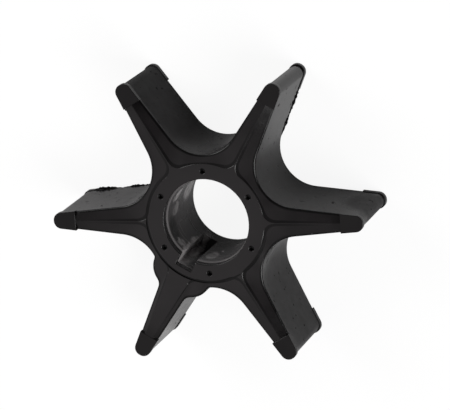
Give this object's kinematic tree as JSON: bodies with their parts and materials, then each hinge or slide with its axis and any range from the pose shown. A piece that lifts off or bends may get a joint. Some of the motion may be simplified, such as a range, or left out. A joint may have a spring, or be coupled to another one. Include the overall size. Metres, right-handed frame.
{
  "type": "rubber pump impeller",
  "caption": "Flexible-vane rubber impeller bonded to a keyed hub bush; it slides onto a drive shaft and moves cooling water through a marine pump.",
  "frame": {"origin": "on the bore axis in the rear end face, which is the face the impeller rests on", "axes": "+Z along the bore, towards the front end face where the keyway opens; +X through the keyway and the vane over it"},
  "size_m": [0.0664, 0.058, 0.02],
  "materials": {
    "rubber": "moulded satin black",
    "bush": "smooth moulded dark grey"
  },
  "bodies": {
    "root": {"rubber_moulding": "rubber", "drive_bush": "bush"}
  },
  "joints": []
}
